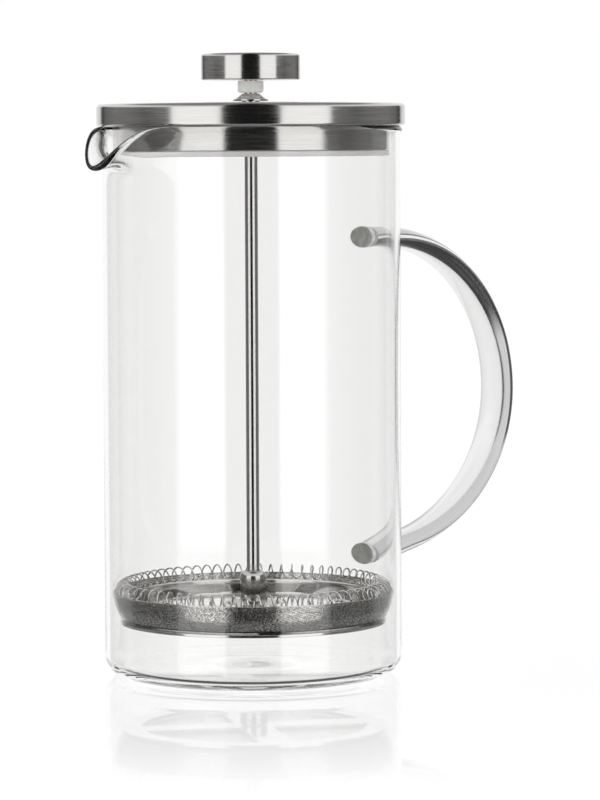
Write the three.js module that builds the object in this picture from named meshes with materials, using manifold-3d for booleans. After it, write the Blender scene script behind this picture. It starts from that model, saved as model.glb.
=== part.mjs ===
// A one-litre french press: a glass beaker with a pulled spout and a bent glass handle, a steel lid, and a
// plunger whose filter is a mesh cup held open by a ring of coiled wire.
// Millimetres, +Z up. The origin is the centre of the beaker's underside. +X points to the handle and -X to
// the spout. The plunger is all the way down.
import * as THREE from 'three';
import { mergeVertices } from 'three/addons/utils/BufferGeometryUtils.js';
import Module from 'manifold-3d';

const wasm = await Module();
wasm.setup();

const GAP = 0.3; // clearance between neighbouring pieces
const DEGREE = Math.PI / 180;

// Driving dimensions. A radius is measured from the press's axis unless its comment says otherwise.
const BEAKER = {
  radius: 50.5,
  wall: 2,
  height: 185.6,
  floor: 3,
  footFillet: 5.5,
  flare: 1.2, // how far the mouth opens
  flareHeight: 5,
  segments: 64,
};
const SPOUT = {
  halfAngle: 38.4 * DEGREE, // where the lip has come back to the round rim
  root: 166, // height where the wall starts to fold out
  // The line of the trough's middle, as Bezier points of reach beyond the wall and height.
  trough: [[0, 166], [0.5, 174], [8, 174.5], [14.5, 172.2]],
  reachFade: 4, // powers of the cosine that fades the fold towards its sides
  dropFade: 11.4,
  crowding: 0.45, // share by which the segments are drawn together at the spout
};
const HANDLE = {
  // Its middle follows a round arc above its outermost point, and a flatter one below.
  reach: 111.3, // the outermost point of its middle
  reachHeight: 92.4,
  upperRadius: 55,
  lowerRadius: { x: 58.1, z: 53.4 },
  bottomAngle: -74.2 * DEGREE,
  width: 15.2,
  thickness: 7.2,
  start: 53.8, // where its ends stand off the axis
};
const WELD = { width: 12.8, height: 7.4, face: 52.7 };
const LID = {
  radius: 52.2,
  edge: 193.4, // height of the flat top's outer edge
  dome: 0.6, // how much higher the middle is
  sheet: 0.8,
  edgeFillet: 1.5,
  hemRadius: 49.4, // inner edge of the rim that rests on the glass
  skirtRadius: 46.7,
  skirtSheet: 0.7,
  skirtFlange: 40,
  linerHeight: 1.8,
  linerTop: 177.6,
  collarHeight: 5,
};
const ROD = { radius: 2.2, bottom: 15.2, top: 206.7 };
const BORE = ROD.radius + GAP; // radius of every hole that the rod goes through
const BUSH = { shank: 3, foot: 6.05, footHeight: 0.5, tip: 3.4, top: 196.8, bottom: 187.2 };
const NUT = { acrossFlats: 10, height: 3.9, washerRadius: 6.6, washerHeight: 0.8 };
const KNOB = {
  radius: 16.8,
  bottom: 201.4,
  edge: 210.2,
  crown: 0.4,
  sheet: 0.8,
  fillet: 1,
  coreRadius: 14.6,
  collarRadius: 4.35,
};
const HUB = { radius: 4.45, bottom: 20.9, top: 34.8, shoulder: 2.2, dish: 0.6 };
const PLATE = {
  // The spring plate: a raised ring between a flat middle and a flat outer land with a turned-up rim.
  bottom: 19.9,
  raise: 3.5,
  sheet: 0.6,
  middle: 7,
  plateauIn: 10,
  plateauOut: 30,
  land: 34,
  rimRadius: 41.6,
  rimTop: 27,
  slots: 16,
  slotWidth: 4.2,
  slotLength: 6,
};
const COIL = { ringRadius: 44.2, coilRadius: 2.45, wireRadius: 0.3, height: 29.3, turns: 72, stepsPerTurn: 6 };
const MESH = { sheet: 0.35, floor: 19.1, footRadius: 45, waistRadius: 46.9, waist: 23.5, rimRadius: 48.1, rim: 28.5 };
const CROSS = {
  radius: 45.4,
  bottom: 17.8,
  sheet: 1,
  openOut: 38.4,
  openIn: 9,
  spokeWidth: 11,
  openings: 4,
  turn: -26.5 * DEGREE, // of its spokes from the X and Y axes
};
const BOSS = { radius: 4.65, bottom: 13.7, hole: 14.9 };

const steel = { roughness: 0.28, metalness: 1 };
const MATERIALS = {
  glass: { color: 0xe9edec, roughness: 0.02, metalness: 0, transparent: true, opacity: 0.35 },
  frostedGlass: { color: 0xb4b4b0, roughness: 0.6, metalness: 0 },
  brushedSteel: { color: 0xb9b7b4, ...steel },
  polishedSteel: { color: 0xc9c8c6, ...steel, roughness: 0.1 },
  meshSteel: { color: 0x77756f, ...steel, roughness: 0.4 },
  whitePlastic: { color: 0xd8d8d4, roughness: 0.4, metalness: 0 },
  clearPlastic: { color: 0xcdcbc9, roughness: 0.35, metalness: 0 },
};

// Outlines -------------------------------------------------------------------------------------------------

// Points of the arc that rounds the corner b of the path a, b, c.
function fillet(a, b, c, radius, steps = 2) {
  const toA = a.clone().sub(b).normalize();
  const toC = c.clone().sub(b).normalize();
  const half = Math.acos(toA.dot(toC)) / 2;
  const start = b.clone().addScaledVector(toA, radius / Math.tan(half));
  const centre = b.clone().addScaledVector(toA.clone().add(toC).normalize(), radius / Math.sin(half));
  const turn = -Math.sign(toA.cross(toC)) * (Math.PI - 2 * half);
  return Array.from({ length: steps + 1 }, (_, i) => start.clone().rotateAround(centre, (turn * i) / steps));
}

// A path of [radius, height, fillet radius] corners as points, with its corners rounded.
function rounded(corners, steps) {
  const points = corners.map(([r, z]) => new THREE.Vector2(r, z));
  return points.flatMap((p, i) => {
    const radius = corners[i][2];
    return radius ? fillet(points[i - 1], p, points[i + 1], radius, steps) : [p];
  });
}

// The closed outline of a sheet of the given thickness, which lies to the left of the path.
function sheetOutline(path, thickness) {
  const normals = path.slice(1).map((p, i) => {
    const along = p.clone().sub(path[i]).normalize();
    return new THREE.Vector2(-along.y, along.x);
  });
  const other = path.map((p, i) => {
    const before = normals[Math.max(i - 1, 0)];
    const after = normals[Math.min(i, normals.length - 1)];
    const mitre = before.clone().add(after).divideScalar(1 + before.dot(after));
    return p.clone().addScaledVector(mitre, thickness);
  });
  return [...path, ...other.reverse()];
}

// Solids ---------------------------------------------------------------------------------------------------

// An outline turned about the Z axis. One that doesn't touch the axis at both ends is closed on itself.
function turned(outline, segments = 48) {
  const points = THREE.ShapeUtils.area(outline) < 0 ? [...outline].reverse() : [...outline];
  const onAxis = points[0].x === 0 && points.at(-1).x === 0;
  if (!onAxis) points.push(points[0].clone());
  return new THREE.LatheGeometry(points, segments).rotateX(Math.PI / 2);
}

function extruded(shape, height, curveSegments = 12) {
  return new THREE.ExtrudeGeometry(shape, { depth: height, bevelEnabled: false, curveSegments });
}

// The closed body of a geometry, for cutting.
function bodyOf(geometry) {
  const bare = new THREE.BufferGeometry().setAttribute('position', geometry.getAttribute('position'));
  bare.setIndex(geometry.index);
  const merged = mergeVertices(bare, 1e-3);
  return new wasm.Manifold(new wasm.Mesh({
    numProp: 3,
    vertProperties: merged.attributes.position.array,
    triVerts: new Uint32Array(merged.index.array),
  }));
}

function cut(geometry, ...tools) {
  const left = tools.reduce((body, tool) => body.subtract(bodyOf(tool)), bodyOf(geometry)).getMesh();
  const made = new THREE.BufferGeometry();
  made.setAttribute('position', new THREE.BufferAttribute(left.vertProperties, 3));
  made.setIndex(new THREE.BufferAttribute(left.triVerts, 1));
  made.computeVertexNormals();
  return made;
}

// The glass ------------------------------------------------------------------------------------------------

// Radius of the middle of the beaker's wall, which opens slightly at the mouth.
function wallMiddle(height) {
  const share = Math.max(0, 1 - (BEAKER.height - height) / BEAKER.flareHeight);
  return BEAKER.radius - BEAKER.wall / 2 + BEAKER.flare * share ** 2;
}

// The point of the folded wall's middle surface that was at this height, at an angle from the spout.
function foldedWall(angle, height) {
  const rim = BEAKER.height - BEAKER.wall / 2;
  const share = (height - SPOUT.root) / (rim - SPOUT.root);
  const trough = new THREE.CubicBezierCurve(...SPOUT.trough.map(([r, z]) => new THREE.Vector2(r, z)));
  const folded = trough.getPoint(share);
  const side = Math.min(1, Math.abs(angle) / SPOUT.halfAngle);
  const fade = Math.cos((side * Math.PI) / 2);
  const radius = wallMiddle(height) + folded.x * fade ** SPOUT.reachFade;
  const z = height + (folded.y - height) * fade ** SPOUT.dropFade;
  return new THREE.Vector3(-radius * Math.cos(angle), -radius * Math.sin(angle), z);
}

// Folds a turned beaker's wall out into the spout. Each point keeps its distance to the wall's middle.
function pullSpout(geometry) {
  const step = 0.01;
  const position = geometry.getAttribute('position');
  const point = new THREE.Vector3();
  for (let i = 0; i < position.count; i += 1) {
    point.fromBufferAttribute(position, i);
    const even = Math.atan2(-point.y, -point.x);
    const angle = even - SPOUT.crowding * Math.sin(even);
    const radius = Math.hypot(point.x, point.y);
    if (point.z <= SPOUT.root) {
      position.setXYZ(i, -radius * Math.cos(angle), -radius * Math.sin(angle), point.z);
      continue;
    }
    const middle = foldedWall(angle, point.z);
    const around = foldedWall(angle + step, point.z).sub(foldedWall(angle - step, point.z));
    const up = foldedWall(angle, point.z + step).sub(foldedWall(angle, point.z - step));
    const outward = around.cross(up).normalize();
    middle.addScaledVector(outward, radius - wallMiddle(point.z));
    position.setXYZ(i, middle.x, middle.y, middle.z);
  }
  return geometry;
}

function glassBeaker() {
  const { radius, wall, height, floor, footFillet } = BEAKER;
  const rows = 7; // rings of points between the spout's root and the rim
  const rim = height - wall / 2;
  const levels = Array.from({ length: rows }, (_, i) => SPOUT.root + ((rim - SPOUT.root) * (i + 1)) / rows);
  const outside = levels.map((z) => new THREE.Vector2(wallMiddle(z) + wall / 2, z));
  const inside = levels.map((z) => new THREE.Vector2(wallMiddle(z) - wall / 2, z)).reverse();
  const bead = new THREE.Vector2(wallMiddle(rim), rim);
  const lip = [1, 2, 3].map((i) => outside.at(-1).clone().rotateAround(bead, (i * Math.PI) / 4));
  const foot = rounded([[0, 0], [radius, 0, footFillet], [radius, SPOUT.root]], 4);
  const innerRadius = radius - wall;
  const well = rounded([[innerRadius, SPOUT.root], [innerRadius, floor, footFillet - wall], [0, floor]]);
  return pullSpout(turned([...foot, ...outside, ...lip, ...inside, ...well], BEAKER.segments));
}

// A point of the handle's middle, at an angle from the middle of its loop.
function handleMiddle(angle) {
  const { reach, reachHeight, upperRadius, lowerRadius } = HANDLE;
  const across = angle > 0 ? upperRadius : lowerRadius.x;
  const tall = angle > 0 ? upperRadius : lowerRadius.z;
  return new THREE.Vector3(reach - across * (1 - Math.cos(angle)), 0, reachHeight + tall * Math.sin(angle));
}

// The lower end of the handle's middle at a given x, on the straight that goes on from its arc.
function lowerEnd(x) {
  const { bottomAngle, lowerRadius } = HANDLE;
  const end = handleMiddle(bottomAngle);
  const slope = lowerRadius.z / lowerRadius.x / Math.tan(-bottomAngle);
  return new THREE.Vector3(x, 0, end.z + (x - end.x) * slope);
}

// An oval bar bent to an open C, with straights from the arc's ends to the beaker.
function glassHandle() {
  const { bottomAngle, width, thickness, start } = HANDLE;
  const arcSteps = 20;
  const arc = Array.from({ length: arcSteps + 1 }, (_, i) =>
    handleMiddle(THREE.MathUtils.lerp(Math.PI / 2, bottomAngle, i / arcSteps)));
  const upperEnd = arc[0].clone().setX(start);
  const path = new THREE.CatmullRomCurve3([upperEnd, ...arc, lowerEnd(start)]);
  const section = new THREE.Shape().absellipse(0, 0, width / 2, thickness / 2, 0, 2 * Math.PI);
  return new THREE.ExtrudeGeometry(section, { steps: 26, extrudePath: path, curveSegments: 9 });
}

// The pad that fuses one end of the handle to the wall, shaped to the wall on its inner side.
function weldPad(height) {
  const pad = new THREE.Shape().absellipse(0, 0, WELD.height / 2, WELD.width / 2, 0, 2 * Math.PI);
  const depth = WELD.face - BEAKER.radius + 2;
  const body = extruded(pad, depth, 8);
  body.rotateY(Math.PI / 2).translate(WELD.face - depth, 0, height);
  const wall = new THREE.CylinderGeometry(BEAKER.radius + GAP, BEAKER.radius + GAP, 3 * WELD.height, 96);
  wall.rotateX(Math.PI / 2).translate(0, 0, height);
  return cut(body, wall);
}

// The lid --------------------------------------------------------------------------------------------------

const LID_TOP = LID.edge + LID.dome;
const LID_BOTTOM = BEAKER.height + GAP;
const BUSH_HOLE = BUSH.shank + GAP;

// A pressed steel disc with its edge turned down and hemmed inwards.
function lidCap() {
  const { radius, edge, sheet, edgeFillet, hemRadius } = LID;
  const path = rounded([
    [BUSH_HOLE, LID_TOP],
    [radius, edge, edgeFillet],
    [radius, LID_BOTTOM, sheet + 0.1],
    [hemRadius, LID_BOTTOM],
  ].reverse());
  return turned(sheetOutline(path, sheet));
}

// The band that drops into the beaker's mouth, with a flange that is welded to the cap.
function lidSkirt() {
  const { skirtRadius, skirtSheet, skirtFlange, sheet, edge, linerTop } = LID;
  const top = edge - sheet - GAP;
  const path = rounded([[skirtRadius, linerTop + GAP], [skirtRadius, top, 1.2], [skirtFlange, top]]);
  return turned(sheetOutline(path, skirtSheet));
}

// A plastic ring: a flange below the skirt's edge and a collar that plugs into the skirt.
function lidLiner() {
  const { skirtRadius, skirtSheet, linerHeight, linerTop, collarHeight } = LID;
  const collarOut = skirtRadius - skirtSheet - GAP;
  const collarIn = collarOut - 1.1;
  const bottom = linerTop - linerHeight;
  return turned(rounded([
    [collarIn, bottom],
    [skirtRadius, bottom, 0.5],
    [skirtRadius, linerTop],
    [collarOut, linerTop],
    [collarOut, linerTop + collarHeight],
    [collarIn, linerTop + collarHeight],
  ]));
}

// A cone with a hollow flank and a shank through the cap.
function rodBush() {
  const { shank, foot, footHeight, tip, top, bottom } = BUSH;
  const seat = LID_TOP + GAP;
  const flank = new THREE.QuadraticBezierCurve(
    new THREE.Vector2(foot, seat + footHeight),
    new THREE.Vector2(tip + 1.1, seat + footHeight + 0.6),
    new THREE.Vector2(tip, top - 0.3),
  );
  return turned([
    ...rounded([[BORE, bottom], [shank, bottom], [shank, seat], [foot, seat]]),
    ...flank.getPoints(4),
    ...rounded([[tip - 0.3, top], [BORE, top]]),
  ], 32);
}

const WASHER_TOP = LID_TOP - LID.sheet - GAP;

function bushWasher() {
  const bottom = WASHER_TOP - NUT.washerHeight;
  return turned(rounded([
    [BUSH_HOLE, bottom],
    [NUT.washerRadius, bottom],
    [NUT.washerRadius, WASHER_TOP],
    [BUSH_HOLE, WASHER_TOP],
  ]), 32);
}

// A hexagon nut on the bush's shank.
function bushNut() {
  const corner = NUT.acrossFlats / Math.sqrt(3);
  const hexagon = new THREE.Shape(Array.from({ length: 6 }, (_, i) =>
    new THREE.Vector2(corner, 0).rotateAround(new THREE.Vector2(), (i * Math.PI) / 3)));
  hexagon.holes.push(new THREE.Path().absarc(0, 0, BUSH_HOLE, 0, 2 * Math.PI, true));
  const top = WASHER_TOP - NUT.washerHeight - GAP;
  return extruded(hexagon, NUT.height, 24).translate(0, 0, top - NUT.height);
}

// The plunger ----------------------------------------------------------------------------------------------

function knobCollar() {
  const bottom = BUSH.top + GAP;
  const top = KNOB.bottom - GAP;
  return turned(rounded([
    [BORE, bottom],
    [KNOB.collarRadius, bottom, 0.8],
    [KNOB.collarRadius, top, 0.3],
    [BORE, top],
  ]), 32);
}

function knobShell() {
  const { radius, bottom, edge, crown, sheet, fillet: round } = KNOB;
  const inner = radius - sheet;
  return turned(rounded([
    [0, edge + crown - sheet],
    [inner, edge - sheet, 0.4],
    [inner, bottom],
    [radius, bottom, 0.35],
    [radius, edge, round],
    [0, edge + crown],
  ]));
}

// The disc that closes the knob from below.
function knobBase() {
  const radius = KNOB.radius - KNOB.sheet - GAP;
  return turned(rounded([
    [BORE, KNOB.bottom],
    [radius, KNOB.bottom],
    [radius, KNOB.bottom + KNOB.sheet],
    [BORE, KNOB.bottom + KNOB.sheet],
  ]));
}

// The plug inside the shell, with a blind hole that the rod screws into.
function knobCore() {
  const bottom = KNOB.bottom + KNOB.sheet + GAP;
  const top = KNOB.edge - KNOB.sheet - GAP;
  return turned(rounded([
    [0, ROD.top + GAP],
    [BORE, ROD.top + GAP],
    [BORE, bottom],
    [KNOB.coreRadius, bottom],
    [KNOB.coreRadius, top],
    [0, top],
  ]), 32);
}

function plungerRod() {
  const { radius, bottom, top } = ROD;
  const chamfer = 0.4;
  return turned(rounded([
    [0, bottom],
    [radius - chamfer, bottom],
    [radius, bottom + chamfer],
    [radius, top - chamfer],
    [radius - chamfer, top],
    [0, top],
  ]), 24);
}

// The bell-shaped ferrule at the rod's foot. Its mouth is dished where the rod goes in.
function filterHub() {
  const { radius, bottom, top, shoulder, dish } = HUB;
  return turned(rounded([
    [BORE, bottom],
    [radius, bottom],
    [radius, top - 0.4, shoulder],
    [BORE + dish, top],
    [BORE, top - dish],
  ], 4), 32);
}

// A pressed disc. Slots are stamped through its outer slope, so that the brew gets through.
function spiralPlate() {
  const { bottom, raise, sheet, middle, plateauIn, plateauOut, land, rimRadius, rimTop } = PLATE;
  const path = rounded([
    [BORE, bottom],
    [middle, bottom],
    [plateauIn, bottom + raise],
    [plateauOut, bottom + raise],
    [land, bottom],
    [rimRadius + sheet, bottom, 1.2],
    [rimRadius + sheet, rimTop],
  ]);
  const slots = Array.from({ length: PLATE.slots }, (_, i) => {
    const slot = new THREE.BoxGeometry(PLATE.slotLength, PLATE.slotWidth, 4 * raise);
    slot.translate((plateauOut + land) / 2, 0, bottom);
    return slot.rotateZ((2 * Math.PI * (i + 0.5)) / PLATE.slots);
  });
  return cut(turned(sheetOutline(path, sheet)), ...slots);
}

// A wire wound into turns whose axis is a ring, with its two ends a little apart.
class WoundRing extends THREE.Curve {
  getPoint(t, target = new THREE.Vector3()) {
    const { ringRadius, coilRadius, height, turns } = COIL;
    const around = 2 * Math.PI * t * (1 - 0.5 / turns);
    const wind = turns * around;
    const radius = ringRadius + coilRadius * Math.cos(wind);
    return target.set(radius * Math.cos(around), radius * Math.sin(around), height - coilRadius * Math.sin(wind));
  }
}

function coilSpring() {
  const wire = new THREE.Shape(Array.from({ length: 3 }, (_, i) =>
    new THREE.Vector2(COIL.wireRadius, 0).rotateAround(new THREE.Vector2(), (2 * i * Math.PI) / 3)));
  return new THREE.ExtrudeGeometry(wire, { steps: COIL.turns * COIL.stepsPerTurn, extrudePath: new WoundRing() });
}

// Woven wire cloth pressed to a shallow cup.
function meshScreen() {
  const { sheet, floor, footRadius, waistRadius, waist, rimRadius, rim } = MESH;
  const path = rounded([
    [BORE, floor],
    [footRadius, floor, 1.5],
    [waistRadius, waist, 8],
    [rimRadius, rim],
  ], 2);
  return turned(sheetOutline(path, sheet));
}

// One of the openings between two spokes, which are of even width.
function petal(index) {
  const { openOut, openIn, spokeWidth, openings } = CROSS;
  const middle = (2 * Math.PI * (index + 0.5)) / openings;
  const halfTurn = Math.PI / openings;
  const outer = halfTurn - Math.asin(spokeWidth / 2 / openOut);
  const inner = halfTurn - Math.asin(spokeWidth / 2 / openIn);
  return new THREE.Path()
    .absarc(0, 0, openOut, middle - outer, middle + outer)
    .absarc(0, 0, openIn, middle + inner, middle - inner, true);
}

function crossPlate() {
  const disc = new THREE.Shape().absarc(0, 0, CROSS.radius, 0, 2 * Math.PI);
  disc.holes = Array.from({ length: CROSS.openings }, (_, i) => petal(i));
  disc.holes.push(new THREE.Path().absarc(0, 0, BORE, 0, 2 * Math.PI, true));
  return extruded(disc, CROSS.sheet, 12).rotateZ(CROSS.turn).translate(0, 0, CROSS.bottom);
}

// The capped boss that screws on the rod's end and clamps the stack.
function crossPlateNut() {
  const top = CROSS.bottom - GAP;
  return turned(rounded([
    [0, BOSS.bottom],
    [BOSS.radius, BOSS.bottom, 1],
    [BOSS.radius, top],
    [BORE, top],
    [BORE, BOSS.hole],
    [0, BOSS.hole],
  ]), 32);
}

// The assembly ---------------------------------------------------------------------------------------------

function piece(name, geometry, material) {
  const mesh = new THREE.Mesh(geometry, new THREE.MeshStandardMaterial(MATERIALS[material]));
  mesh.name = name;
  return mesh;
}

const beaker = new THREE.Group().add(
  piece('glass_beaker', glassBeaker(), 'glass'),
  piece('glass_handle', glassHandle(), 'glass'),
  piece('upper_handle_weld', weldPad(HANDLE.reachHeight + HANDLE.upperRadius), 'frostedGlass'),
  piece('lower_handle_weld', weldPad(lowerEnd(WELD.face).z), 'frostedGlass'),
);

const lid = new THREE.Group().add(
  piece('lid_cap', lidCap(), 'brushedSteel'),
  piece('lid_skirt', lidSkirt(), 'brushedSteel'),
  piece('lid_liner', lidLiner(), 'clearPlastic'),
  piece('rod_bush', rodBush(), 'polishedSteel'),
  piece('bush_washer', bushWasher(), 'polishedSteel'),
  piece('bush_nut', bushNut(), 'polishedSteel'),
);

const filter = new THREE.Group().add(
  piece('filter_hub', filterHub(), 'polishedSteel'),
  piece('spiral_plate', spiralPlate(), 'polishedSteel'),
  piece('coil_spring', coilSpring(), 'polishedSteel'),
  piece('mesh_screen', meshScreen(), 'meshSteel'),
  piece('cross_plate', crossPlate(), 'polishedSteel'),
  piece('cross_plate_nut', crossPlateNut(), 'polishedSteel'),
);

const plunger = new THREE.Group().add(
  piece('knob_collar', knobCollar(), 'whitePlastic'),
  piece('knob_shell', knobShell(), 'brushedSteel'),
  piece('knob_base', knobBase(), 'brushedSteel'),
  piece('knob_core', knobCore(), 'whitePlastic'),
  piece('plunger_rod', plungerRod(), 'polishedSteel'),
  filter,
);

export default new THREE.Group().add(beaker, lid, plunger);
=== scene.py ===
"""A one-litre french press: clear glass beaker and handle, steel lid, and a plunger with a mesh filter.

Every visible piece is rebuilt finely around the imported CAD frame, in metres. +X points to the handle, -X to
the spout, and the origin is the centre of the beaker's underside.
"""

from math import asin, atan2, cos, hypot, pi, radians, sin, tan

import bmesh
import bpy
import numpy as np
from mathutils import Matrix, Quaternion, Vector


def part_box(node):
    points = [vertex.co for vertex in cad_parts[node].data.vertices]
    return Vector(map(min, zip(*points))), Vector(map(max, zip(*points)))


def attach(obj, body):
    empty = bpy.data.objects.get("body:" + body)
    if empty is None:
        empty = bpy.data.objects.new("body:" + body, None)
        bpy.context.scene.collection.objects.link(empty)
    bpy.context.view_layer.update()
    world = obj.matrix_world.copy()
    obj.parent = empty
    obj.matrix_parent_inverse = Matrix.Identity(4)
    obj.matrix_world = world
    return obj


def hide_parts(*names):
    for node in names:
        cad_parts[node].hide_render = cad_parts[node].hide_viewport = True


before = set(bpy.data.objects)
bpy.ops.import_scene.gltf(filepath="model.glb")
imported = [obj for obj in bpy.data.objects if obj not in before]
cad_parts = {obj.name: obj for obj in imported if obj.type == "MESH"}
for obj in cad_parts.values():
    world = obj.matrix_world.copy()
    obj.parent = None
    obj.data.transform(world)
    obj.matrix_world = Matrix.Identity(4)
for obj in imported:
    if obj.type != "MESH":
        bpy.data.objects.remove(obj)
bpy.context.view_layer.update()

MM = 0.001
GAP = 0.3 * MM  # clearance between neighbouring pieces

# The beaker's spout, as the CAD folds it: Bezier points of reach beyond the wall, and height.
SPOUT_TROUGH = [(0, 166), (0.5, 174), (8, 174.5), (14.5, 172.2)]
SPOUT_ROOT = 166 * MM
SPOUT_HALF_ANGLE = radians(38.4)
SPOUT_REACH_FADE = 4
SPOUT_DROP_FADE = 11.4
SPOUT_CROWDING = 0.45

WALL = 2 * MM
BEAKER_RADIUS = 50.5 * MM
BEAKER_FLOOR = 3 * MM
FLARE = 1.2 * MM
FLARE_HEIGHT = 5 * MM

# The handle's middle follows a round arc above its outermost point, and a flatter one below.
HANDLE_REACH = 111.3 * MM
HANDLE_REACH_HEIGHT = 92.4 * MM
HANDLE_UPPER_RADIUS = 55 * MM
HANDLE_LOWER_RADII = (58.1 * MM, 53.4 * MM)
HANDLE_BOTTOM = radians(-74.2)

ROD_BORE = 2.5 * MM
VIEW_AZIMUTH = radians(-38)


# Camera and studio ----------------------------------------------------------------------------------------


def view_axes():
    """Horizontal unit vectors: from the press to the camera, and to the camera's right."""
    back = Vector((sin(VIEW_AZIMUTH), -cos(VIEW_AZIMUTH), 0))
    right = Vector((cos(VIEW_AZIMUTH), sin(VIEW_AZIMUTH), 0))
    return back, right


def make_camera():
    """A long lens at the lid's height, aimed slightly down and to the right of the beaker's axis."""
    distance, eye_height = 1.252, 0.183
    aim_right, aim_height = 0.0162, 0.093
    roll = radians(-0.25)
    back, right = view_axes()
    data = bpy.data.cameras.new("camera")
    data.sensor_width = 36
    data.lens = 166.3
    data.clip_start, data.clip_end = 0.05, 50
    camera = bpy.data.objects.new("camera", data)
    bpy.context.scene.collection.objects.link(camera)
    camera.location = back * distance + Vector((0, 0, eye_height))
    aim = right * aim_right + Vector((0, 0, aim_height))
    camera.rotation_mode = "QUATERNION"
    look = (aim - camera.location).to_track_quat("-Z", "Y")
    camera.rotation_quaternion = look @ Quaternion((0, 0, 1), roll)
    bpy.context.scene.camera = camera


class Nodes:
    """Short calls for building a node tree."""

    def __init__(self, tree):
        self.tree = tree

    def add(self, kind, inputs=None, **settings):
        node = self.tree.nodes.new(kind)
        for name, value in settings.items():
            setattr(node, name, value)
        for name, value in (inputs or {}).items():
            self.feed(node.inputs[name], value)
        return node

    def feed(self, socket, value):
        if isinstance(value, bpy.types.NodeSocket):
            self.tree.links.new(value, socket)
        else:
            socket.default_value = value

    def math(self, operation, *values):
        node = self.add("ShaderNodeMath", operation=operation)
        for socket, value in zip(node.inputs, values):
            self.feed(socket, value)
        return node.outputs[0]

    def mix(self, factor, low, high):
        """A number or colour between two, as a colour."""
        node = self.add("ShaderNodeMix", data_type="RGBA")
        for socket, value in zip((node.inputs[0], node.inputs[6], node.inputs[7]), (factor, low, high)):
            self.feed(socket, value)
        return node.outputs[2]

    def span(self, value, low, high, to_low=0.0, to_high=1.0):
        """The value's place between low and high, smoothly, as a number from to_low to to_high."""
        node = self.add("ShaderNodeMapRange", interpolation_type="SMOOTHSTEP")
        for name, fed in zip(("Value", "From Min", "From Max", "To Min", "To Max"),
                             (value, low, high, to_low, to_high)):
            self.feed(node.inputs[name], fed)
        return node.outputs[0]


def grey(level):
    return (level, level, level, 1)


def ramp_of(nodes, turn, stops):
    """Brightness against turn, in degrees: 0 is behind the camera and 180 is behind the press."""
    node = nodes.add("ShaderNodeValToRGB", {"Fac": turn})
    ramp = node.color_ramp
    while len(ramp.elements) < len(stops):
        ramp.elements.new(0.5)
    for element, (angle, level) in zip(ramp.elements, stops):
        element.position = angle / 180
        element.color = grey(level)
    return node.outputs["Color"]


# The studio's walls, as (turn, brightness) stops. Turn is 0 degrees where the main view's camera stands, in a
# dark gap between two soft boxes, and 180 behind the press. The white backdrop looks wider to light that
# glass bends than to light that steel mirrors, and it goes all round for light straight through glass.
SOFT_BOXES = [(0, 0.012), (20.5, 0.012), (23, 1.35), (59.5, 1.35), (63, 0.21), (84, 0.13)]
STEEL_SIDES = [(100, 0.2), (120, 0.23), (138, 0.16), (143, 0.04), (147, 0.04), (150, 0.8), (180, 1.04)]
GLASS_SIDES = [(108, 0.08), (113.5, 0.72), (130, 0.78), (142, 1.04), (180, 1.04)]
CLEAR_SIDES = [(0, 1.04), (95, 1.04), (110, 0.72), (130, 0.78), (142, 1.04), (180, 1.04)]
GAP_EDGE = (20.5 / 180, 25 / 180)

CEILING_GREY = 0.3
OVERHEAD_LIGHT = 0.95
SOFT_LIGHT = 1.5
BACKGROUND = 1.02


def room(nodes, turn, height, walls, ceiling, ground):
    """Brightness of a room. Ceiling and ground are each (height where the wall fades out, level)."""
    up = nodes.span(height, ceiling[0], ceiling[0] + 0.2)
    down = nodes.span(height, ground[0], ground[0] - 0.25)
    return nodes.mix(down, nodes.mix(up, ramp_of(nodes, turn, walls), grey(ceiling[1])), grey(ground[1]))


def looking(nodes):
    """A ray's turn from the main view's side, as a share of half a circle, and its height, -1 to 1."""
    back, right = view_axes()
    direction = nodes.add("ShaderNodeTexCoord").outputs["Generated"]
    towards = nodes.add("ShaderNodeVectorMath", {0: direction, 1: back}, operation="DOT_PRODUCT")
    sideways = nodes.add("ShaderNodeVectorMath", {0: direction, 1: right}, operation="DOT_PRODUCT")
    angle = nodes.math("ARCTAN2", sideways.outputs["Value"], towards.outputs["Value"])
    turn = nodes.math("DIVIDE", nodes.math("ABSOLUTE", angle), pi)
    return turn, nodes.add("ShaderNodeSeparateXYZ", {0: direction}).outputs["Z"]


def steel_room(nodes, turn, height, bare, two_walls):
    """What steel mirrors. Behind the glass it has a light overhead."""
    striped = room(nodes, turn, height, SOFT_BOXES + STEEL_SIDES, (0.5, 0.02), (-0.6, 0.3))
    overhead = nodes.math("MULTIPLY", two_walls, nodes.span(height, 0.35, 0.6))
    lit = nodes.mix(overhead, striped, grey(OVERHEAD_LIGHT))
    # The lid's top and the floor mirror a white room with a grey ceiling, except towards the dark gap.
    outside_gap = nodes.math("MULTIPLY", bare, nodes.span(turn, *GAP_EDGE))
    upward = nodes.math("MULTIPLY", outside_gap, nodes.span(height, 0.16, 0.26))
    return nodes.mix(upward, lit, nodes.mix(nodes.span(height, 0.5, 0.7), grey(1), grey(CEILING_GREY)))


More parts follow.
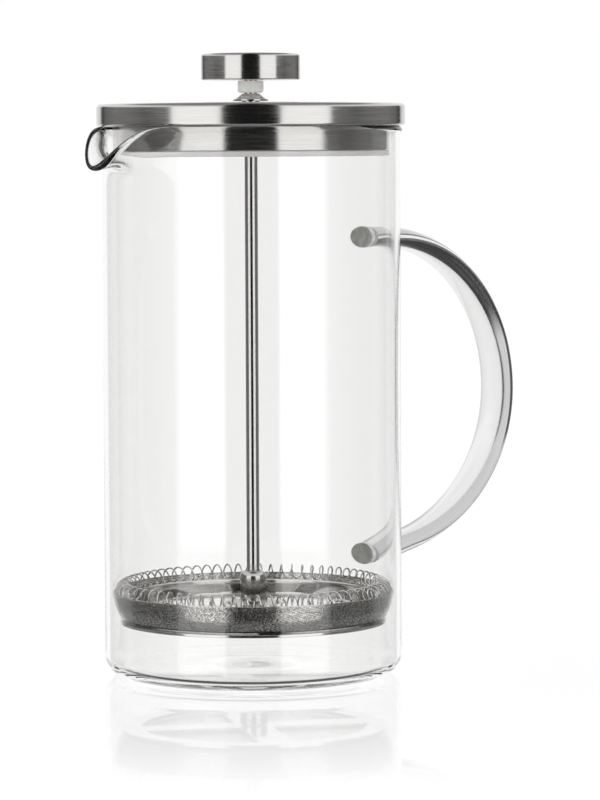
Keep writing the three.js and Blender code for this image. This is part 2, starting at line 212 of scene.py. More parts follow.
def studio_light(nodes):
    """The studio's brightness, which differs for light off steel, bent by glass, or straight through it."""
    turn, height = looking(nodes)
    path = nodes.add("ShaderNodeLightPath").outputs
    reflected = nodes.math("GREATER_THAN", path["Glossy Depth"], 0.5)
    # Light off steel has crossed no glass, or one wall of the beaker on its way in and one on its way out.
    bare = nodes.math("COMPARE", path["Transmission Depth"], 0.0, 0.5)
    two_walls = nodes.math("COMPARE", path["Transmission Depth"], 4.0, 0.5)
    off_steel = nodes.math("MULTIPLY", reflected, nodes.math("MAXIMUM", bare, two_walls))
    for_glass = room(nodes, turn, height, SOFT_BOXES + GLASS_SIDES, (0.3, 0.72), (-0.35, 0.05))
    studio = nodes.mix(off_steel, for_glass, steel_room(nodes, turn, height, bare, two_walls))
    straight = nodes.math("GREATER_THAN", nodes.math("SUBTRACT", two_walls, reflected), 0.5)
    studio = nodes.mix(straight, studio, room(nodes, turn, height, CLEAR_SIDES, (0.3, 0.9), (-0.35, 0.95)))
    studio = nodes.mix(nodes.math("GREATER_THAN", path["Diffuse Depth"], 0.5), studio, grey(SOFT_LIGHT))
    return nodes.mix(path["Is Camera Ray"], studio, grey(BACKGROUND))


def make_world():
    """A white room for the eye and for soft light. Steel and bent light see a striped studio instead."""
    world = bpy.data.worlds.new("studio")
    bpy.context.scene.world = world
    world.use_nodes = True
    world.cycles.sampling_method = "NONE"
    nodes = Nodes(world.node_tree)
    world.node_tree.nodes.clear()
    light = nodes.add("ShaderNodeBackground", {"Color": studio_light(nodes), "Strength": 1.0})
    out = nodes.add("ShaderNodeOutputWorld")
    world.node_tree.links.new(light.outputs[0], out.inputs["Surface"])


def make_floor():
    """A white floor with a faint reflection that fades away from the press."""
    bpy.ops.mesh.primitive_circle_add(vertices=96, radius=0.6, fill_type="NGON")
    floor = bpy.context.object
    floor.name = "floor"
    floor.visible_glossy = False
    floor.visible_transmission = False
    material = bpy.data.materials.new("floor")
    material.use_nodes = True
    material.node_tree.nodes.clear()
    nodes = Nodes(material.node_tree)
    spot = nodes.add("ShaderNodeTexCoord").outputs["Object"]
    distance = nodes.add("ShaderNodeVectorMath", {0: spot}, operation="LENGTH").outputs["Value"]
    share = nodes.span(distance, 0.09, 0.27, 0.3, 0.0)
    white = nodes.add("ShaderNodeEmission", {"Color": grey(1), "Strength": BACKGROUND})
    gloss = nodes.add("ShaderNodeBsdfGlossy", {"Color": grey(0.93), "Roughness": 0.02})
    both = nodes.add("ShaderNodeMixShader", {0: share, 1: white.outputs[0], 2: gloss.outputs[0]})
    out = nodes.add("ShaderNodeOutputMaterial")
    material.node_tree.links.new(both.outputs[0], out.inputs["Surface"])
    floor.data.materials.append(material)


def set_look():
    scene = bpy.context.scene
    scene.view_settings.view_transform = "Standard"
    scene.cycles.max_bounces = 96
    scene.cycles.transmission_bounces = 64
    scene.cycles.glossy_bounces = 64
    scene.cycles.caustics_reflective = True
    scene.cycles.caustics_refractive = True


# Materials ------------------------------------------------------------------------------------------------


def new_material(name, **constants):
    """A material with one Principled shader, whose constant inputs are given by name with _ for a space."""
    material = bpy.data.materials.new(name)
    material.use_nodes = True
    nodes = Nodes(material.node_tree)
    shader = material.node_tree.nodes["Principled BSDF"]
    for key, value in constants.items():
        shader.inputs[key.replace("_", " ")].default_value = value
    return material, nodes, shader


def bumped(nodes, shader, height, distance, strength=1.0):
    bump = nodes.add("ShaderNodeBump", {"Height": height, "Distance": distance, "Strength": strength})
    nodes.feed(shader.inputs["Normal"], bump.outputs[0])
    return bump


def round_streaks(nodes, pitch, length, detail=2.0):
    """Noise drawn out round the Z axis: lines pitch metres apart, about length radii long."""
    spot = nodes.add("ShaderNodeTexCoord").outputs["Object"]
    xyz = nodes.add("ShaderNodeSeparateXYZ", {0: spot}).outputs
    flat = nodes.add("ShaderNodeCombineXYZ", {"X": xyz["X"], "Y": xyz["Y"], "Z": 0.0}).outputs[0]
    radius = nodes.add("ShaderNodeVectorMath", {0: flat}, operation="LENGTH").outputs["Value"]
    unit = nodes.add("ShaderNodeVectorMath", {0: flat}, operation="NORMALIZE").outputs["Vector"]
    around = nodes.add("ShaderNodeSeparateXYZ", {0: unit}).outputs
    across = nodes.math("DIVIDE", nodes.math("ADD", radius, xyz["Z"]), pitch)
    place = nodes.add("ShaderNodeCombineXYZ", {
        "X": nodes.math("DIVIDE", around["X"], length),
        "Y": nodes.math("DIVIDE", around["Y"], length),
        "Z": across,
    }).outputs[0]
    noise = nodes.add("ShaderNodeTexNoise", {"Vector": place, "Scale": 1.0, "Detail": detail})
    return noise.outputs["Fac"]


def brushed_steel():
    """Stainless steel brushed in circles, with finer and coarser lines."""
    colour, rough = (0.66, 0.65, 0.635), 0.17
    material, nodes, shader = new_material(
        "brushed_steel", Metallic=1.0, Anisotropic=0.75, Anisotropic_Rotation=0.25)
    coarse = round_streaks(nodes, 0.55 * MM, 0.35)
    fine = round_streaks(nodes, 0.13 * MM, 0.12, 4.0)
    both = nodes.math("ADD", nodes.math("MULTIPLY", coarse, 0.6), nodes.math("MULTIPLY", fine, 0.4))
    dark = [0.9 * c for c in colour] + [1]
    nodes.feed(shader.inputs["Base Color"], nodes.mix(nodes.span(both, 0.35, 0.65), dark, [*colour, 1]))
    nodes.feed(shader.inputs["Roughness"], nodes.span(both, 0.3, 0.7, rough - 0.04, rough + 0.05))
    tangent = nodes.add("ShaderNodeTangent", direction_type="RADIAL", axis="Z")
    nodes.feed(shader.inputs["Tangent"], tangent.outputs[0])
    bumped(nodes, shader, fine, 0.006 * MM, 0.5)
    return material


def polished_steel():
    """Bright turned steel with faint turning marks and a little haze."""
    colour, rough = (0.7, 0.69, 0.675), 0.07
    material, nodes, shader = new_material("polished_steel", Metallic=1.0)
    marks = round_streaks(nodes, 0.2 * MM, 0.5, 3.0)
    haze = nodes.add("ShaderNodeTexNoise", {
        "Vector": nodes.add("ShaderNodeTexCoord").outputs["Object"], "Scale": 260.0, "Detail": 4.0,
    }).outputs["Fac"]
    dark = [0.93 * c for c in colour] + [1]
    nodes.feed(shader.inputs["Base Color"], nodes.mix(nodes.span(marks, 0.4, 0.6), dark, [*colour, 1]))
    nodes.feed(shader.inputs["Roughness"], nodes.span(haze, 0.35, 0.7, rough * 0.7, rough * 1.8))
    bumped(nodes, shader, marks, 0.003 * MM, 0.4)
    return material


def clear_glass(name, waviness, clearness):
    """Borosilicate glass with the slight waviness, in metres, of drawn tube or bar."""
    material, nodes, shader = new_material(name, Transmission_Weight=1.0, Roughness=0.0, IOR=1.47)
    shader.inputs["Base Color"].default_value = (clearness, clearness, clearness - 0.003, 1)
    spot = nodes.add("ShaderNodeTexCoord").outputs["Object"]
    drawn = nodes.add("ShaderNodeMapping", {"Vector": spot, "Scale": (1, 1, 0.25)})
    wave = nodes.add("ShaderNodeTexNoise", {"Vector": drawn.outputs[0], "Scale": 55.0, "Detail": 1.0})
    bumped(nodes, shader, wave.outputs["Fac"], waviness, 0.5)
    return material


def frosted_weld():
    """Where the handle is fused on: rough, greyish glass with tiny bubbles."""
    material, nodes, shader = new_material("frosted_weld", IOR=1.47)
    spot = nodes.add("ShaderNodeTexCoord").outputs["Object"]
    cloud = nodes.add("ShaderNodeTexNoise", {"Vector": spot, "Scale": 420.0, "Detail": 5.0}).outputs["Fac"]
    bubbles = nodes.add("ShaderNodeTexVoronoi", {"Vector": spot, "Scale": 1500.0}).outputs["Distance"]
    colour = nodes.mix(nodes.span(cloud, 0.35, 0.65), (0.54, 0.55, 0.515, 1), (0.75, 0.76, 0.72, 1))
    nodes.feed(shader.inputs["Base Color"], colour)
    nodes.feed(shader.inputs["Roughness"], nodes.span(cloud, 0.3, 0.7, 0.35, 0.6))
    bumped(nodes, shader, bubbles, 0.05 * MM, 0.6)
    return material


def satin_plastic(name, colour):
    """Moulded, slightly translucent plastic with a fine matt grain."""
    material, nodes, shader = new_material(
        name, Subsurface_Weight=0.25, Subsurface_Scale=0.002, Specular_IOR_Level=0.45)
    spot = nodes.add("ShaderNodeTexCoord").outputs["Object"]
    grain = nodes.add("ShaderNodeTexNoise", {"Vector": spot, "Scale": 2400.0, "Detail": 3.0}).outputs["Fac"]
    cloud = nodes.add("ShaderNodeTexNoise", {"Vector": spot, "Scale": 90.0, "Detail": 2.0}).outputs["Fac"]
    dark = [0.94 * c for c in colour] + [1]
    nodes.feed(shader.inputs["Base Color"], nodes.mix(nodes.span(cloud, 0.35, 0.65), dark, [*colour, 1]))
    nodes.feed(shader.inputs["Roughness"], nodes.span(grain, 0.3, 0.7, 0.32, 0.46))
    bumped(nodes, shader, grain, 0.01 * MM, 0.4)
    return material


def woven_mesh():
    """Plain-woven steel wire cloth. The UV map holds the cloth's own flat coordinates in metres."""
    pitch, wire_share = 0.75 * MM, 0.7
    material, nodes, shader = new_material("woven_mesh", Metallic=1.0)
    uv = nodes.add("ShaderNodeUVMap", uv_map="cloth").outputs[0]
    xy = nodes.add("ShaderNodeSeparateXYZ", {0: uv}).outputs
    cells = [nodes.math("DIVIDE", xy[axis], pitch) for axis in "XY"]
    # How far across its wire each point is, from 0 at the wire's middle to 0.5 between wires.
    across = [nodes.math("PINGPONG", cell, 0.5) for cell in cells]
    wires = [nodes.span(a, wire_share / 2 - 0.04, wire_share / 2 + 0.04, 1.0, 0.0) for a in across]
    waves = [nodes.math("SINE", nodes.math("MULTIPLY", cell, pi)) for cell in cells]
    over = nodes.span(nodes.math("MULTIPLY", *waves), -0.2, 0.2)
    height = nodes.mix(over, wires[0], wires[1])
    solid = nodes.math("MAXIMUM", *wires)
    nodes.feed(shader.inputs["Alpha"], solid)
    spot = nodes.add("ShaderNodeTexCoord").outputs["Object"]
    cloud = nodes.add("ShaderNodeTexNoise", {"Vector": spot, "Scale": 120.0}).outputs["Fac"]
    uneven = nodes.add("ShaderNodeTexNoise", {"Vector": spot, "Scale": 1900.0}).outputs["Fac"]
    bright = nodes.mix(nodes.span(uneven, 0.35, 0.65), (0.26, 0.255, 0.245, 1), (0.82, 0.81, 0.79, 1))
    # Painted shade: the colour falls to near black where a wire dips under its crossing wire and at each
    # wire's edges.
    painted_weave_shade = nodes.mix(height, (0.05, 0.05, 0.047, 1), bright)
    nodes.feed(shader.inputs["Base Color"], painted_weave_shade)
    nodes.feed(shader.inputs["Roughness"], nodes.span(cloud, 0.3, 0.7, 0.14, 0.22))
    bumped(nodes, shader, height, 0.05 * MM, 0.45)
    return material


# Mesh building --------------------------------------------------------------------------------------------


def fillet(a, b, c, radius, steps):
    """Points of the arc that rounds the corner b of the path a, b, c."""
    to_a, to_c = (a - b).normalized(), (c - b).normalized()
    half = to_a.angle(to_c) / 2
    start = b + to_a * (radius / tan(half))
    centre = b + (to_a + to_c).normalized() * (radius / sin(half))
    side = 1 if to_a.cross(to_c) < 0 else -1
    turn = side * (pi - 2 * half)
    arm = start - centre
    points = []
    for i in range(steps + 1):
        c_i, s_i = cos(turn * i / steps), sin(turn * i / steps)
        points.append(centre + Vector((arm.x * c_i - arm.y * s_i, arm.x * s_i + arm.y * c_i)))
    return points


def rounded(corners, steps=6):
    """A path of (radius, height, fillet radius) corners as points, with its corners rounded."""
    points = [Vector(corner[:2]) for corner in corners]
    path = []
    for i, corner in enumerate(corners):
        radius = corner[2] if len(corner) > 2 else 0
        path += fillet(points[i - 1], points[i], points[i + 1], radius, steps) if radius else [points[i]]
    return path


def sheet_outline(path, thickness):
    """The closed outline of a sheet which lies to the left of the path."""
    normals = [Vector((-(b - a).y, (b - a).x)).normalized() for a, b in zip(path, path[1:])]
    other = []
    for i, point in enumerate(path):
        before, after = normals[max(i - 1, 0)], normals[min(i, len(normals) - 1)]
        other.append(point + (before + after) * (thickness / (1 + before.dot(after))))
    return path + other[::-1]


def new_piece(name, vertices, faces, material, sharp=35):
    """A mesh object, smooth apart from edges sharper than the given number of degrees."""
    mesh = bpy.data.meshes.new(name)
    mesh.from_pydata([tuple(v) for v in vertices], [], faces)
    mesh.validate()
    bm = bmesh.new()
    bm.from_mesh(mesh)
    bmesh.ops.recalc_face_normals(bm, faces=bm.faces)
    bm.to_mesh(mesh)
    bm.free()
    mesh.shade_smooth()
    mesh.set_sharp_from_angle(angle=radians(sharp))
    piece = bpy.data.objects.new(name, mesh)
    bpy.context.scene.collection.objects.link(piece)
    piece.data.materials.append(material)
    return piece


def turned(name, outline, material, segments=160, sharp=35):
    """An outline of (radius, height) points turned about the Z axis. It closes on the axis or on itself."""
    on_axis = outline[0][0] < 1e-9 and outline[-1][0] < 1e-9
    rings, vertices = [], []
    for radius, height in outline:
        if radius < 1e-9:
            rings.append([len(vertices)] * segments)
            vertices.append((0, 0, height))
            continue
        rings.append(list(range(len(vertices), len(vertices) + segments)))
        for i in range(segments):
            angle = 2 * pi * i / segments
            vertices.append((radius * cos(angle), radius * sin(angle), height))
    pairs = list(zip(rings, rings[1:])) + ([] if on_axis else [(rings[-1], rings[0])])
    faces = []
    for low, high in pairs:
        for i in range(segments):
            j = (i + 1) % segments
            corners = [low[i], low[j], high[j], high[i]]
            faces.append(list(dict.fromkeys(corners)))
    return new_piece(name, vertices, faces, material, sharp)


def ring_points(path, segments):
    """The points of a (radius, height) path, turned about the Z axis one row after another."""
    turns = np.arange(segments) * 2 * pi / segments
    return [(p.x * cos(t), p.x * sin(t), p.y) for p in path for t in turns]


def ring_face(row, i, segments):
    """The four corners between two rows of ring_points."""
    j = (i + 1) % segments
    low, high = row * segments, (row + 1) * segments
    return [low + i, low + j, high + j, high + i]


def swept(name, centres, frames, section, material, closed=False):
    """A section of (side, normal) points swept through centres, each with its side and normal vectors."""
    vertices, faces = [], []
    count = len(section)
    for centre, (side, normal) in zip(centres, frames):
        vertices += [centre + side * u + normal * v for u, v in section]
    rows = len(centres)
    for row in range(rows if closed else rows - 1):
        after = (row + 1) % rows
        for i in range(count):
            j = (i + 1) % count
            faces.append([row * count + i, row * count + j, after * count + j, after * count + i])
    if not closed:
        faces += [list(range(count)), list(range((rows - 1) * count, rows * count))]
    return new_piece(name, vertices, faces, material)


def finish_piece(piece, body, slot, *nodes):
    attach(piece, body)
    if nodes:
        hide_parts(*nodes)
    return piece


# The glass ------------------------------------------------------------------------------------------------

GLASS = clear_glass("clear_glass", 0.02 * MM, 0.975)
BAR_GLASS = clear_glass("bar_glass", 0.005 * MM, 0.84)
RIM_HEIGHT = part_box("lid_cap")[0].z - GAP


def wall_middle(height):
    """Radius of the middle of the beaker's wall, which opens slightly at the mouth."""
    share = max(0, 1 - (RIM_HEIGHT - height) / FLARE_HEIGHT)
    return BEAKER_RADIUS - WALL / 2 + FLARE * share**2


def trough_point(share):
    """(reach, height) of the spout's middle line, in metres."""
    a = 1 - share
    weights = (a**3, 3 * a * a * share, 3 * a * share * share, share**3)
    return [sum(w * p[i] for w, p in zip(weights, SPOUT_TROUGH)) * MM for i in (0, 1)]


def folded_wall(angle, height):
    """The point of the folded wall's middle surface that was at this height, at an angle from the spout."""
    rim = RIM_HEIGHT - WALL / 2
    reach, level = trough_point((height - SPOUT_ROOT) / (rim - SPOUT_ROOT))
    fade = cos(min(1, abs(angle) / SPOUT_HALF_ANGLE) * pi / 2)
    radius = wall_middle(height) + reach * fade**SPOUT_REACH_FADE
    lifted = height + (level - height) * fade**SPOUT_DROP_FADE
    return Vector((-radius * cos(angle), -radius * sin(angle), lifted))


def pull_spout(piece):
    """Folds the turned wall out into the spout. Each point keeps its distance to the wall's middle."""
    step = 0.00001
    for vertex in piece.data.vertices:
        x, y, z = vertex.co
        radius = hypot(x, y)
        if radius < 1e-9:
            continue
        even = atan2(-y, -x)
        angle = even - SPOUT_CROWDING * sin(even)
        if z <= SPOUT_ROOT:
            vertex.co = (-radius * cos(angle), -radius * sin(angle), z)
            continue
        turn = step / radius
        around = folded_wall(angle + turn, z) - folded_wall(angle - turn, z)
        up = folded_wall(angle, z + step) - folded_wall(angle, z - step)
        outward = around.cross(up).normalized()
        vertex.co = folded_wall(angle, z) + outward * (radius - wall_middle(z))


def inner_floor(radius):
    """Height of the beaker's inner floor, which is drawn thicker in the middle with soft rings."""
    middle = 1.1 * MM * np.exp(-((radius / (17 * MM)) ** 2))
    rings = 0.3 * MM * cos(radius / (4.4 * MM)) * np.exp(-((radius / (26 * MM)) ** 2))
    return BEAKER_FLOOR + middle + rings


def build_beaker():
    rim = RIM_HEIGHT - WALL / 2
    foot, well_fillet = 7 * MM, 3.8 * MM
    rows, lip_steps = 34, 8
    inner = BEAKER_RADIUS - WALL
    levels = [SPOUT_ROOT + (rim - SPOUT_ROOT) * (i + 1) / rows for i in range(rows)]
    outside = [(wall_middle(z) + WALL / 2, z) for z in levels]
    inside = [(wall_middle(z) - WALL / 2, z) for z in reversed(levels)]
    lip = [(wall_middle(rim) + WALL / 2 * cos(i * pi / lip_steps), rim + WALL / 2 * sin(i * pi / lip_steps))
           for i in range(1, lip_steps)]
    stand = BEAKER_RADIUS - foot
    base = rounded([(0, 0.35 * MM), (stand - 6 * MM, 0.3 * MM), (stand - 2 * MM, 0),
                    (BEAKER_RADIUS, 0, foot), (BEAKER_RADIUS, SPOUT_ROOT)], 24)
    floor_edge = inner - well_fillet
    well = rounded([(inner, SPOUT_ROOT), (inner, BEAKER_FLOOR, well_fillet),
                    (floor_edge - 1 * MM, BEAKER_FLOOR)], 16)
    floor = [(r, inner_floor(r)) for r in np.linspace(floor_edge - 1.5 * MM, 0, 42)]
    outline = [tuple(p) for p in base] + outside + lip + inside + [tuple(p) for p in well] + floor
    beaker = turned("beaker", outline, GLASS, segments=384, sharp=60)
    pull_spout(beaker)
    return finish_piece(beaker, "beaker", "clear_glass", "glass_beaker")


def handle_middle(angle):
    across, tall = (HANDLE_UPPER_RADIUS,) * 2 if angle > 0 else HANDLE_LOWER_RADII
    x = HANDLE_REACH - across * (1 - cos(angle))
    return Vector((x, 0, HANDLE_REACH_HEIGHT + tall * sin(angle)))


def handle_path(start):
    """The handle's middle, from its top end down: a straight, the arc and another straight."""
    arc = [handle_middle(angle) for angle in np.linspace(pi / 2, HANDLE_BOTTOM, 90)]
    across, tall = HANDLE_LOWER_RADII
    slope = tall / across / tan(-HANDLE_BOTTOM)
    top = Vector((start, 0, arc[0].z))
    bottom = Vector((start, 0, arc[-1].z + (start - arc[-1].x) * slope))
    shares = np.linspace(0, 1, 14)
    return [top.lerp(arc[0], s) for s in shares[:-1]] + arc + [arc[-1].lerp(bottom, s) for s in shares[1:]]


def build_handle():
    """An oval bar of glass."""
    low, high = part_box("glass_handle")
    half_width, half_thickness = high.y, 3.6 * MM
    middle = handle_path(low.x)
    frames = []
    for i in range(len(middle)):
        along = (middle[min(i + 1, len(middle) - 1)] - middle[max(i - 1, 0)]).normalized()
        frames.append((Vector((0, 1, 0)), Vector((-along.z, 0, along.x))))
    turns = np.arange(48) * 2 * pi / 48
    section = [(half_width * cos(a), half_thickness * sin(a)) for a in turns]
    handle = swept("handle", middle, frames, section, BAR_GLASS)
    return finish_piece(handle, "beaker", "clear_glass", "glass_handle")


def build_weld(node, material):
    """An oval pad of softened glass, domed at its edge and shaped to the wall on its inner side."""
    low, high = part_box(node)
    centre = (low + high) / 2
    half_y, half_z = (high.y - low.y) / 2, (high.z - low.z) / 2
    spokes, rings, bulge = 56, 7, 0.5 * MM
    vertices, faces = [], []
    for face in (0, 1):
        for ring in range(1, rings + 1):
            share = ring / rings
            for i in range(spokes):
                angle = 2 * pi * i / spokes
                y, z = half_y * share * cos(angle), half_z * share * sin(angle)
                inner = ((BEAKER_RADIUS + 0.1 * MM) ** 2 - y * y) ** 0.5
                outer = high.x - bulge * share**4
                vertices.append((outer if face else inner, y, centre.z + z))
    half = rings * spokes
    hubs = (len(vertices), len(vertices) + 1)
    vertices += [(BEAKER_RADIUS + 0.1 * MM, 0, centre.z), (high.x, 0, centre.z)]
    for face in (0, 1):
        for i in range(spokes):
            j = (i + 1) % spokes
            faces.append([hubs[face], face * half + i, face * half + j])
            for ring in range(rings - 1):
                a = face * half + ring * spokes
                faces.append([a + i, a + j, a + spokes + j, a + spokes + i])
    last = half - spokes
    for i in range(spokes):
        j = (i + 1) % spokes
        faces.append([last + i, last + j, half + last + j, half + last + i])
    pad = new_piece(node.replace("handle_weld", "weld_pad"), vertices, faces, material)
    return finish_piece(pad, "beaker", "frosted_glass", node)


# The lid --------------------------------------------------------------------------------------------------

BRUSHED = brushed_steel()
POLISHED = polished_steel()
LID_SHEET = 0.8 * MM
SHANK_HOLE = 3.3 * MM


def build_lid_cap():
    """A pressed disc, slightly domed, with its edge turned down and hemmed inwards."""
    low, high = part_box("lid_cap")
    dome = 0.6 * MM
    edge = high.z - dome
    radii = np.linspace(SHANK_HOLE, high.x - 4 * MM, 20)
    top = [Vector((r, high.z - dome * (r / high.x) ** 2)) for r in radii]
    corner = rounded([tuple(top[-1]), (high.x, edge, 1.5 * MM), (high.x, low.z, 0.9 * MM),
                      (high.x - 2.8 * MM, low.z)], 10)
    path = (top + corner[1:])[::-1]
    cap = turned("lid_cap_steel", sheet_outline(path, LID_SHEET), BRUSHED, segments=224)
    return finish_piece(cap, "lid", "brushed_steel", "lid_cap")


def build_lid_skirt():
    low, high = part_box("lid_skirt")
    flange = 40 * MM
    path = rounded([(high.x, low.z), (high.x, high.z, 1.2 * MM), (flange, high.z)], 8)
    skirt = turned("lid_skirt_steel", sheet_outline(path, 0.7 * MM), BRUSHED, segments=224)
    return finish_piece(skirt, "lid", "brushed_steel", "lid_skirt")


def build_lid_liner(material):
    low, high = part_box("lid_liner")
    seat = low.z + 1.8 * MM
    outer = high.x - 1 * MM
    inner = outer - 1.1 * MM
    outline = rounded([(inner, low.z, 0.3 * MM), (high.x, low.z, 0.5 * MM), (high.x, seat, 0.25 * MM),
                       (outer, seat), (outer, high.z, 0.2 * MM), (inner, high.z)][1:] + [(inner, low.z)], 5)
    liner = turned("liner_ring", outline, material, segments=224)
    return finish_piece(liner, "lid_seat", "seal_plastic", "lid_liner")


def build_rod_bush():
    """A cone with a hollow flank, polished, and a threaded shank through the cap."""
    low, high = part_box("rod_bush")
    shank, tip = SHANK_HOLE - GAP, 3.4 * MM
    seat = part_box("lid_cap")[1].z + GAP
    foot = seat + 0.5 * MM
    flank = []
    for share in np.linspace(0, 1, 14):
        a, b, c = (1 - share) ** 2, 2 * share * (1 - share), share**2
        radius = a * high.x + b * (tip + 1.1 * MM) + c * tip
        flank.append((radius, a * foot + b * (foot + 0.6 * MM) + c * (high.z - 0.3 * MM)))
    outline = [(ROD_BORE, low.z), (shank, low.z)] + thread(shank, low.z, seat - 1 * MM)
    outline += [(shank, seat), (high.x - 0.2 * MM, seat), (high.x, seat + 0.2 * MM)] + flank
    outline += [(tip - 0.3 * MM, high.z), (ROD_BORE + 0.2 * MM, high.z), (ROD_BORE, high.z - 0.2 * MM)]
    bush = turned("guide_cone", outline, POLISHED, segments=96)
    return finish_piece(bush, "lid", "polished_steel", "rod_bush")


def thread(radius, low, high, pitch=0.8 * MM, depth=0.35 * MM):
    """The outline of a thread's grooves between two heights, as rings of points."""
    turns = int((high - low) / pitch)
    points = []
    for i in range(1, turns):
        z = low + i * pitch
        points += [(radius, z - 0.3 * pitch), (radius - depth, z), (radius, z + 0.3 * pitch)]
    return points


# The knob -------------------------------------------------------------------------------------------------


def build_knob():
    low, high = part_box("knob_shell")
    crown, sheet = 0.4 * MM, 0.8 * MM
    edge = high.z - crown
    inner = high.x - sheet
    top = [(r, high.z - crown * (r / high.x) ** 2) for r in np.linspace(high.x - 3 * MM, 0, 16)]
    side = rounded([(0, high.z - sheet), (inner, edge - sheet, 0.4 * MM), (inner, low.z),
                    (high.x, low.z, 0.35 * MM), (high.x, edge, 1 * MM), top[0]], 8)
    shell = turned("knob_steel", [tuple(p) for p in side[:-1]] + top, BRUSHED)
    finish_piece(shell, "plunger", "brushed_steel", "knob_shell")
    low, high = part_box("knob_base")
    outline = rounded([(ROD_BORE, low.z), (high.x, low.z, 0.15 * MM),
                       (high.x, high.z), (ROD_BORE, high.z)], 4)
    base = turned("knob_bottom_disc", outline, BRUSHED)
    finish_piece(base, "plunger", "brushed_steel", "knob_base")


def build_collar(material):
    low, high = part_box("knob_collar")
    outline = rounded([(ROD_BORE, low.z), (high.x, low.z, 0.8 * MM),
                       (high.x, high.z, 0.3 * MM), (ROD_BORE, high.z)], 8)
    collar = turned("stop_collar", outline, material, segments=96)
    return finish_piece(collar, "plunger_stop", "white_plastic", "knob_collar")


# The plunger ----------------------------------------------------------------------------------------------


def build_rod():
    low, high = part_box("plunger_rod")
    radius, chamfer = high.x, 0.4 * MM
    outline = [(0, low.z), (radius - chamfer, low.z), (radius, low.z + chamfer)]
    outline += [(radius, high.z - chamfer), (radius - chamfer, high.z), (0, high.z)]
    rod = turned("steel_rod", outline, POLISHED, segments=64)
    return finish_piece(rod, "plunger", "polished_steel", "plunger_rod")


def build_hub():
    """The bell-shaped ferrule, dished where the rod goes in."""
    low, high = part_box("filter_hub")
    outline = rounded([
        (ROD_BORE, low.z),
        (high.x, low.z, 0.3 * MM),
        (high.x, high.z - 0.4 * MM, 2.3 * MM),
        (ROD_BORE + 0.75 * MM, high.z - 0.1 * MM, 0.25 * MM),
        (ROD_BORE, high.z - 0.9 * MM),
    ], 12)
    hub = turned("rod_ferrule", outline, POLISHED, segments=96)
    return finish_piece(hub, "plunger", "polished_steel", "filter_hub")


def build_spiral_plate():
    """A pressed disc with a raised ring, slots through its outer slope and a turned-up rim."""
    low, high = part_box("spiral_plate")
    sheet, segments, slots = 0.6 * MM, 320, 16
    slot_in, slot_out = 29 * MM, 35.2 * MM
    mid, raised = low.z + sheet / 2, low.z + 3.5 * MM + sheet / 2
    rim = high.x - sheet / 2
    path = rounded([(ROD_BORE, mid), (7 * MM, mid, 1 * MM), (10 * MM, raised, 1 * MM),
                    (30 * MM, raised, 1.2 * MM), (34 * MM, mid, 1.2 * MM), (rim, mid, 1.5 * MM),
                    (rim, high.z)], 5)
    fine = []
    for a, b in zip(path, path[1:]):
        pieces = max(1, int((b - a).length / (0.8 * MM)))
        fine += [a.lerp(b, i / pieces) for i in range(pieces)]
    fine.append(path[-1])
    faces = []
    for row in range(len(fine) - 1):
        middle = (fine[row] + fine[row + 1]) / 2
        for i in range(segments):
            from_slot = ((i + 0.5) / segments * slots) % 1 - 0.5
            half_width = 2.1 * MM / (2 * pi * middle.x / slots)
            if slot_in < middle.x < slot_out and abs(from_slot) < half_width:
                continue
            faces.append(ring_face(row, i, segments))
    plate = new_piece("spring_plate", ring_points(fine, segments), faces, POLISHED)
    solidify = plate.modifiers.new("sheet", "SOLIDIFY")
    solidify.thickness, solidify.offset = sheet, 0
    apply_modifiers(plate)
    return finish_piece(plate, "plunger", "polished_steel", "spiral_plate")


def apply_modifiers(piece):
    graph = bpy.context.evaluated_depsgraph_get()
    made = bpy.data.meshes.new_from_object(piece.evaluated_get(graph))
    piece.modifiers.clear()
    piece.data = made


def build_coil():
    """A ring of fine coiled wire that presses the mesh to the glass."""
    low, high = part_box("coil_spring")
    turns, steps, wire = 72, 28, 0.28 * MM
    height = (low.z + high.z) / 2
    coil = (high.z - low.z) / 2 - 0.3 * MM
    ring = 44.2 * MM
    points, sides = [], 10
    for i in range(turns * steps):
        around = 2 * pi * i / (turns * steps)
        wind = 2 * pi * i / steps
        radius = ring + coil * cos(wind)
        points.append(Vector((radius * cos(around), radius * sin(around), height - coil * sin(wind))))
    frames = []
    for i, point in enumerate(points):
        ahead, behind = points[(i + 1) % len(points)], points[i - 1]
        along = (ahead - behind).normalized()
        around = atan2(point.y, point.x)
        ring_axis = Vector((-sin(around), cos(around), 0))
        side = along.cross(ring_axis).normalized()
        frames.append((side, along.cross(side)))
    section = [(wire * cos(2 * pi * k / sides), wire * sin(2 * pi * k / sides)) for k in range(sides)]
    spring = swept("spring_wire", points, frames, section, POLISHED, closed=True)
    return finish_piece(spring, "plunger", "polished_steel", "coil_spring")


def build_mesh_screen():
    """Wire cloth pressed to a shallow cup. Its UV map lays each ring out flat, as the cloth was cut."""
    low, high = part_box("mesh_screen")
    path = rounded([(ROD_BORE, low.z + 0.15 * MM), (45 * MM, low.z + 0.15 * MM, 2.5 * MM),
                    (46.9 * MM, 23.5 * MM, 9 * MM), (high.x - 0.1 * MM, high.z)], 12)
    segments = 256
    faces = [ring_face(row, i, segments) for row in range(len(path) - 1) for i in range(segments)]
    screen = new_piece("filter_cloth", ring_points(path, segments), faces, woven_mesh(), sharp=180)
    lengths = np.cumsum([path[0].x] + [(b - a).length for a, b in zip(path, path[1:])])
    layer = screen.data.uv_layers.new(name="cloth")
    for loop in screen.data.loops:
        row, i = divmod(loop.vertex_index, segments)
        angle = 2 * pi * i / segments
        layer.data[loop.index].uv = (lengths[row] * cos(angle), lengths[row] * sin(angle))
    return finish_piece(screen, "plunger", "mesh_steel", "mesh_screen")


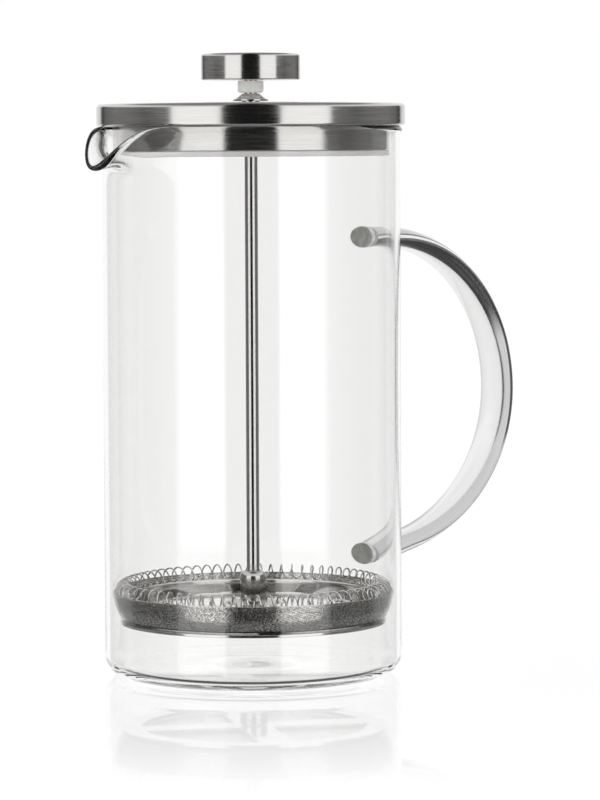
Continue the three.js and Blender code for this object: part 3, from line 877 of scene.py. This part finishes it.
def build_cloth_rim():
    """The cloth's rim is folded over a thin round wire."""
    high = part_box("mesh_screen")[1]
    wire = 0.22 * MM
    radius, height = high.x - 0.25 * MM, high.z - 0.2 * MM
    turns = np.arange(10) * 2 * pi / 10
    outline = [(radius + wire * cos(a), height + wire * sin(a)) for a in turns]
    rim = turned("filter_rim_wire", outline, POLISHED, segments=256)
    return finish_piece(rim, "plunger", "mesh_steel")


def arc(radius, start, end, count):
    return [(radius * cos(a), radius * sin(a)) for a in np.linspace(start, end, count)]


def add_loop(curve, points):
    spline = curve.splines.new("POLY")
    spline.points.add(len(points) - 1)
    for target, (x, y) in zip(spline.points, points):
        target.co = (x, y, 0, 1)
    spline.use_cyclic_u = True


def flat_disc(name, loops, thickness, bevel):
    """The mesh of a flat sheet with the outline and holes given, its edges softly rounded."""
    curve = bpy.data.curves.new(name, "CURVE")
    curve.dimensions = "2D"
    curve.fill_mode = "BOTH"
    curve.extrude = thickness / 2 - bevel
    curve.bevel_depth, curve.bevel_resolution = bevel, 3
    curve.offset = -bevel
    for points in loops:
        add_loop(curve, points)
    shape = bpy.data.objects.new(name, curve)
    bpy.context.scene.collection.objects.link(shape)
    graph = bpy.context.evaluated_depsgraph_get()
    mesh = bpy.data.meshes.new_from_object(shape.evaluated_get(graph))
    bpy.data.objects.remove(shape)
    return mesh


def build_cross_plate():
    """A stamped disc with four petal openings."""
    low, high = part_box("cross_plate")
    open_out, open_in, half_spoke = 38.4 * MM, 9 * MM, 5.5 * MM
    turn = radians(-26.5)
    loops = [arc(high.x, 0, 2 * pi, 241)[:-1], arc(ROD_BORE, 0, 2 * pi, 49)[:-1]]
    outer = pi / 4 - asin(half_spoke / open_out)
    inner = pi / 4 - asin(half_spoke / open_in)
    for i in range(4):
        middle = (i + 0.5) * pi / 2 + turn
        outward = arc(open_out, middle - outer, middle + outer, 61)
        loops.append(outward + arc(open_in, middle + inner, middle - inner, 13))
    mesh = flat_disc("cross_disc", loops, high.z - low.z, 0.2 * MM)
    for vertex in mesh.vertices:
        vertex.co.z += (low.z + high.z) / 2
    mesh.shade_smooth()
    mesh.set_sharp_from_angle(angle=radians(40))
    mesh.materials.clear()
    mesh.materials.append(POLISHED)
    plate = bpy.data.objects.new("cross_disc", mesh)
    bpy.context.scene.collection.objects.link(plate)
    return finish_piece(plate, "plunger", "polished_steel", "cross_plate")


def build_cross_nut():
    low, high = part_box("cross_plate_nut")
    socket = low.z + 1.2 * MM
    outline = rounded([(0, low.z), (high.x, low.z, 1.2 * MM), (high.x, high.z, 0.2 * MM),
                       (ROD_BORE, high.z), (ROD_BORE, socket), (0, socket)], 8)
    nut = turned("clamp_boss", outline, POLISHED, segments=96)
    return finish_piece(nut, "plunger", "polished_steel", "cross_plate_nut")


def finish_hidden_nodes(core_plastic):
    """The CAD's own solids that stay: plain pieces inside the lid and the knob."""
    for node, material, slot in (
        ("bush_washer", POLISHED, "polished_steel"),
        ("bush_nut", POLISHED, "polished_steel"),
        ("knob_core", core_plastic, "white_plastic"),
    ):
        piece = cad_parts[node]
        piece.data.materials.clear()
        piece.data.materials.append(material)


make_camera()
make_world()
make_floor()
set_look()

WELD = frosted_weld()
WHITE = satin_plastic("white_plastic", (0.9, 0.9, 0.885))
SEAL = satin_plastic("seal_plastic", (0.74, 0.735, 0.73))

build_beaker()
build_handle()
build_weld("upper_handle_weld", WELD)
build_weld("lower_handle_weld", WELD)
build_lid_cap()
build_lid_skirt()
build_lid_liner(SEAL)
build_rod_bush()
build_knob()
build_collar(WHITE)
build_rod()
build_hub()
build_spiral_plate()
build_coil()
build_mesh_screen()
build_cloth_rim()
build_cross_plate()
build_cross_nut()
finish_hidden_nodes(WHITE)
